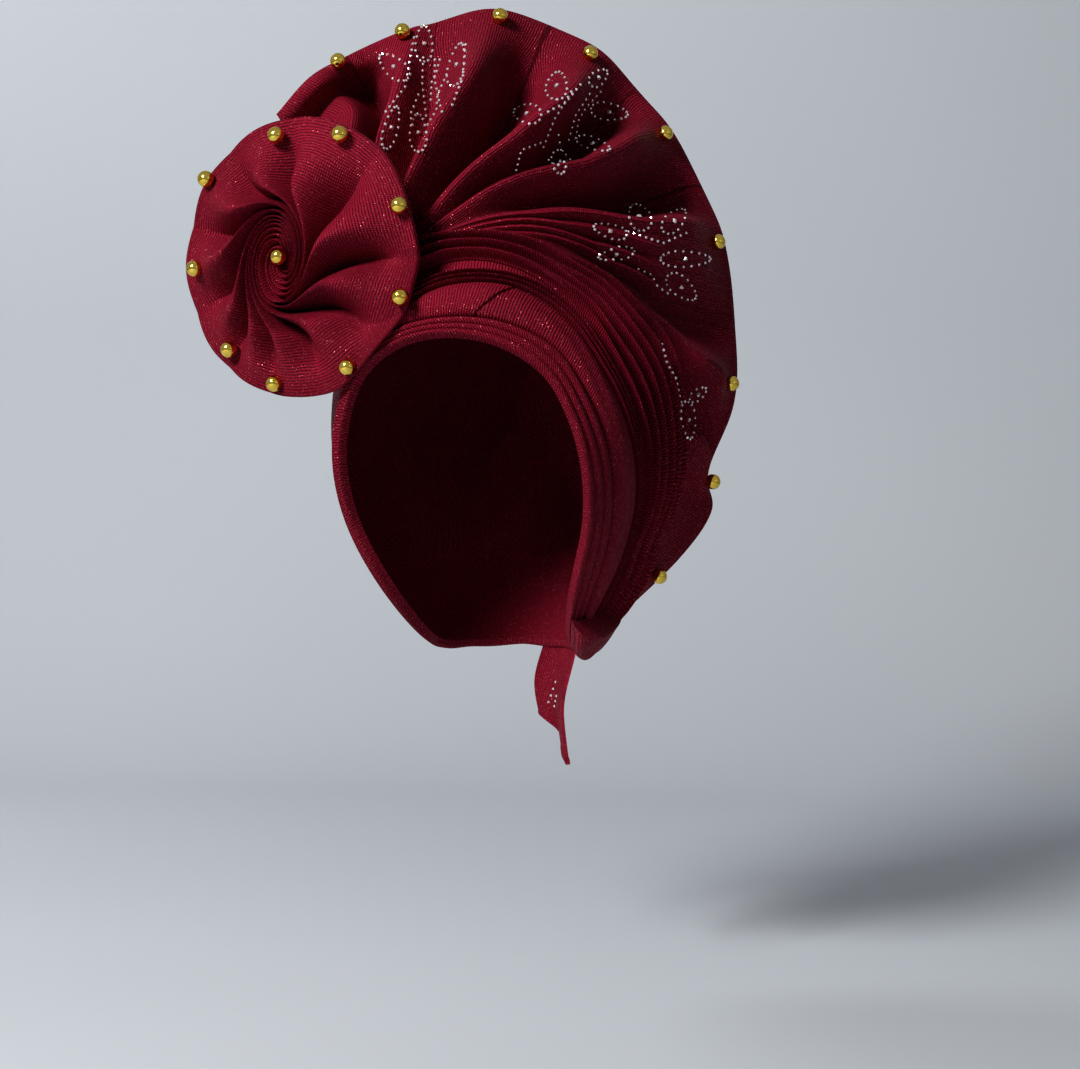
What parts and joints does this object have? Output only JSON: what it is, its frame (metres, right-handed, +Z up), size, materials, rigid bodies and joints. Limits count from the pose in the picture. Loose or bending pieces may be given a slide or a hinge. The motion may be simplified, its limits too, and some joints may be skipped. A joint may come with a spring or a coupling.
{
  "type": "tied gele head tie",
  "caption": "Pre-tied pleated cloth head tie with a standing fan, a coiled side rosette, wrapped pleats round an open face and a short hanging tail",
  "frame": {"origin": "centre of the head at brow level, where the tie sits on the head", "axes": "+Z up, the face opening looks along -Y, the wearer's left is +X"},
  "size_m": [0.257, 0.1998, 0.3872],
  "materials": {
    "cloth": "ribbed woven cloth with a fine glitter",
    "bead": "bright plated"
  },
  "bodies": {
    "root": {"cap": "cloth", "face_band": "cloth", "panel_over": "cloth", "panel_under": "cloth", "pleats_inner": "cloth", "pleats_outer": "cloth", "fan": "cloth", "rosette": "cloth", "nape_knot": "cloth", "tail": "cloth", "fan_bead_01": "bead", "fan_bead_02": "bead", "fan_bead_03": "bead", "fan_bead_04": "bead", "fan_bead_05": "bead", "fan_bead_06": "bead", "fan_bead_07": "bead", "fan_bead_08": "bead", "fan_bead_09": "bead", "rosette_bead_01": "bead", "rosette_bead_02": "bead", "rosette_bead_03": "bead", "rosette_bead_04": "bead", "rosette_bead_05": "bead", "rosette_bead_06": "bead", "rosette_bead_07": "bead", "rosette_bead_08": "bead", "rosette_bead_09": "bead", "rosette_centre_bead": "bead"}
  },
  "joints": []
}
